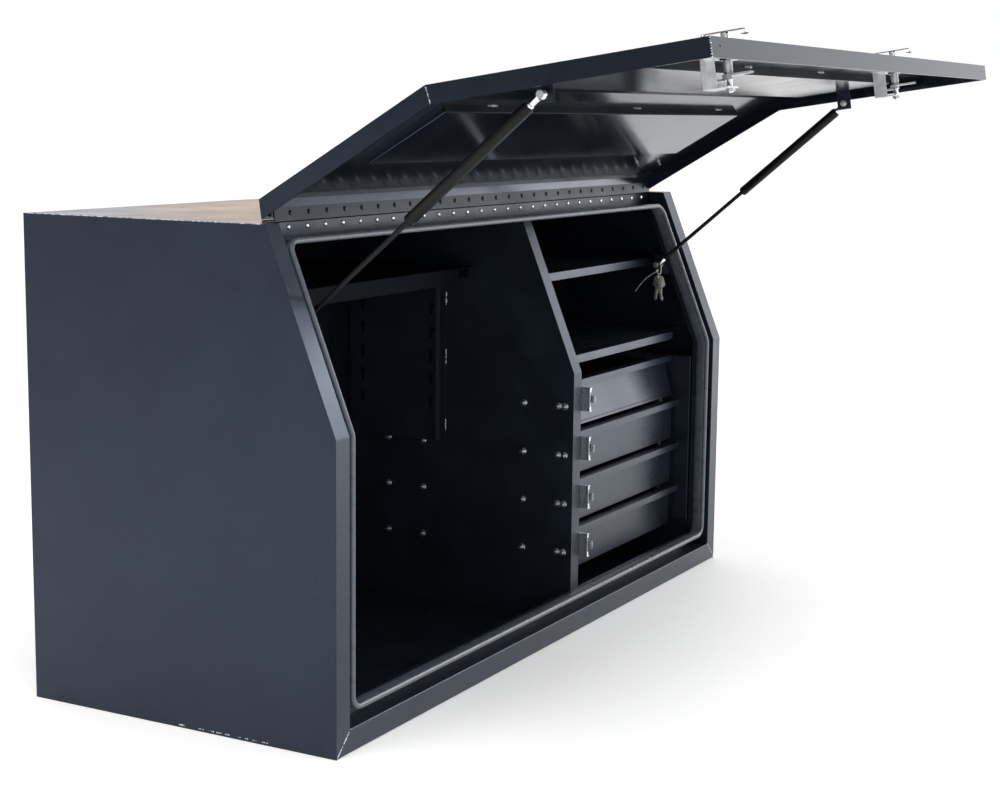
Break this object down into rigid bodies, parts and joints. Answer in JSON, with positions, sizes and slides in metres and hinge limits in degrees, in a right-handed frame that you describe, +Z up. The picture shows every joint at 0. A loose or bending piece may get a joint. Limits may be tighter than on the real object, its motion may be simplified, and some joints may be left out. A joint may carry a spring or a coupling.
{
  "type": "aluminium toolbox",
  "caption": "Large aluminium toolbox with a cranked lift-up lid on gas struts, T-handle latches, open bay with a keyhole board, shelves and a bank of drawers.",
  "frame": {"origin": "centre of the footprint, on the floor", "axes": "+X to the right along the width, +Y from the front to the back, +Z up"},
  "size_m": [1.5, 1.1616, 1.0996],
  "materials": {
    "charcoal_panel": "satin powder coat",
    "black_inside": "satin powder coat",
    "zinc_steel": "bright zinc plate",
    "chrome": "polished",
    "seal_rubber": "matte",
    "strut_black": "gloss black paint",
    "white_nylon": "matte"
  },
  "bodies": {
    "box": {"left_side_panel": "charcoal_panel", "right_side_panel": "charcoal_panel", "top_panel": "charcoal_panel", "back_panel": "charcoal_panel", "floor_panel": "charcoal_panel", "left_gutter": "charcoal_panel", "right_gutter": "charcoal_panel", "sill_gutter": "charcoal_panel", "header": "charcoal_panel", "door_seal": "seal_rubber", "divider_panel": "black_inside", "upper_shelf": "charcoal_panel", "lower_shelf": "charcoal_panel", "left_shelf": "black_inside", "left_shelf_brackets": "black_inside", "keyhole_board": "black_inside", "drawer_side_panel": "charcoal_panel", "slide_packers": "black_inside", "slide_outer_members": "zinc_steel", "slide_bolts": "zinc_steel", "slide_nuts": "zinc_steel", "body_hinge_leaf": "charcoal_panel", "hinge_pin": "zinc_steel", "body_hinge_rivets": "zinc_steel", "strut_wall_brackets": "black_inside", "strut_wall_studs": "chrome"},
    "lid": {"lid_skin": "charcoal_panel", "upper_lid_pan": "charcoal_panel", "lower_lid_pan": "charcoal_panel", "lid_hinge_leaf": "charcoal_panel", "lid_hinge_rivets": "zinc_steel", "strut_lid_brackets": "black_inside", "strut_bracket_nuts": "zinc_steel", "left_latch_body": "zinc_steel", "right_latch_body": "zinc_steel", "left_latch_barrel": "zinc_steel", "right_latch_barrel": "zinc_steel"},
    "left_rod": {"left_strut_rod": "strut_black"},
    "left_cylinder": {"left_strut_cylinder": "strut_black"},
    "left_latch": {"left_latch_handle": "chrome", "left_latch_lever": "zinc_steel"},
    "right_rod": {"right_strut_rod": "strut_black"},
    "right_cylinder": {"right_strut_cylinder": "strut_black"},
    "right_latch": {"right_latch_handle": "chrome", "right_latch_lever": "zinc_steel"},
    "drawer_1": {"drawer_1": "charcoal_panel", "drawer_1_runners": "zinc_steel"},
    "middle_1": {"slide_middle_1": "zinc_steel"},
    "drawer_2": {"drawer_2": "charcoal_panel", "drawer_2_runners": "zinc_steel"},
    "middle_2": {"slide_middle_2": "zinc_steel"},
    "drawer_3": {"drawer_3": "charcoal_panel", "drawer_3_runners": "zinc_steel"},
    "middle_3": {"slide_middle_3": "zinc_steel"},
    "drawer_4": {"drawer_4": "charcoal_panel", "drawer_4_runners": "zinc_steel"},
    "middle_4": {"slide_middle_4": "zinc_steel"},
    "key_bunch": {"key_tie": "white_nylon", "key_ring": "zinc_steel", "keys": "zinc_steel"}
  },
  "joints": [
    {"name": "lid_hinge", "type": "hinge", "parent": "box", "child": "lid", "pos_m": [0, -0.1394, 0.805], "axis": [-1, 0, 0], "range_deg": [-98.5, 0]},
    {"name": "left_strut_swing", "type": "hinge", "parent": "box", "child": "left_rod", "pos_m": [-0.668, -0.18198, 0.65], "axis": [-1, 0, 0], "range_deg": [-116.27, 0]},
    {"name": "left_strut_slide", "type": "slide", "parent": "left_rod", "child": "left_cylinder", "axis": [0, -0.761, 0.6487], "range_m": [-0.2073, 0]},
    {"name": "right_strut_swing", "type": "hinge", "parent": "box", "child": "right_rod", "pos_m": [0.668, -0.18198, 0.65], "axis": [-1, 0, 0], "range_deg": [-116.27, 0]},
    {"name": "right_strut_slide", "type": "slide", "parent": "right_rod", "child": "right_cylinder", "axis": [0, -0.761, 0.6487], "range_m": [-0.2073, 0]},
    {"name": "left_latch_turn", "type": "hinge", "parent": "lid", "child": "left_latch", "pos_m": [-0.415, -0.76347, 1.06065], "axis": [0, -0.1478, -0.989], "range_deg": [0, 90]},
    {"name": "right_latch_turn", "type": "hinge", "parent": "lid", "child": "right_latch", "pos_m": [0.415, -0.76347, 1.06065], "axis": [0, 0.1478, 0.989], "range_deg": [0, 90]},
    {"name": "drawer_1_slide", "type": "slide", "parent": "box", "child": "drawer_1", "axis": [0, -1, 0], "range_m": [0, 0.42]},
    {"name": "middle_1_slide", "type": "slide", "parent": "box", "child": "middle_1", "axis": [0, -1, 0], "range_m": [0, 0.21]},
    {"name": "drawer_2_slide", "type": "slide", "parent": "box", "child": "drawer_2", "axis": [0, -1, 0], "range_m": [0, 0.42]},
    {"name": "middle_2_slide", "type": "slide", "parent": "box", "child": "middle_2", "axis": [0, -1, 0], "range_m": [0, 0.21]},
    {"name": "drawer_3_slide", "type": "slide", "parent": "box", "child": "drawer_3", "axis": [0, -1, 0], "range_m": [0, 0.42]},
    {"name": "middle_3_slide", "type": "slide", "parent": "box", "child": "middle_3", "axis": [0, -1, 0], "range_m": [0, 0.21]},
    {"name": "drawer_4_slide", "type": "slide", "parent": "box", "child": "drawer_4", "axis": [0, -1, 0], "range_m": [0, 0.42]},
    {"name": "middle_4_slide", "type": "slide", "parent": "box", "child": "middle_4", "axis": [0, -1, 0], "range_m": [0, 0.21]},
    {"name": "keys_swing", "type": "hinge", "parent": "box", "child": "key_bunch", "pos_m": [0.668, -0.18198, 0.65], "axis": [1, 0, 0], "range_deg": [-25, 25]}
  ],
  "couplings": [
    {"joint": "left_strut_swing", "follows": "lid_hinge", "ratio": 1.1783},
    {"joint": "left_strut_slide", "follows": "lid_hinge", "m_per_rad": 0.12029},
    {"joint": "right_strut_swing", "follows": "lid_hinge", "ratio": 1.1783},
    {"joint": "right_strut_slide", "follows": "lid_hinge", "m_per_rad": 0.12029},
    {"joint": "middle_1_slide", "follows": "drawer_1_slide", "ratio": 0.5},
    {"joint": "middle_2_slide", "follows": "drawer_2_slide", "ratio": 0.5},
    {"joint": "middle_3_slide", "follows": "drawer_3_slide", "ratio": 0.5},
    {"joint": "middle_4_slide", "follows": "drawer_4_slide", "ratio": 0.5}
  ]
}
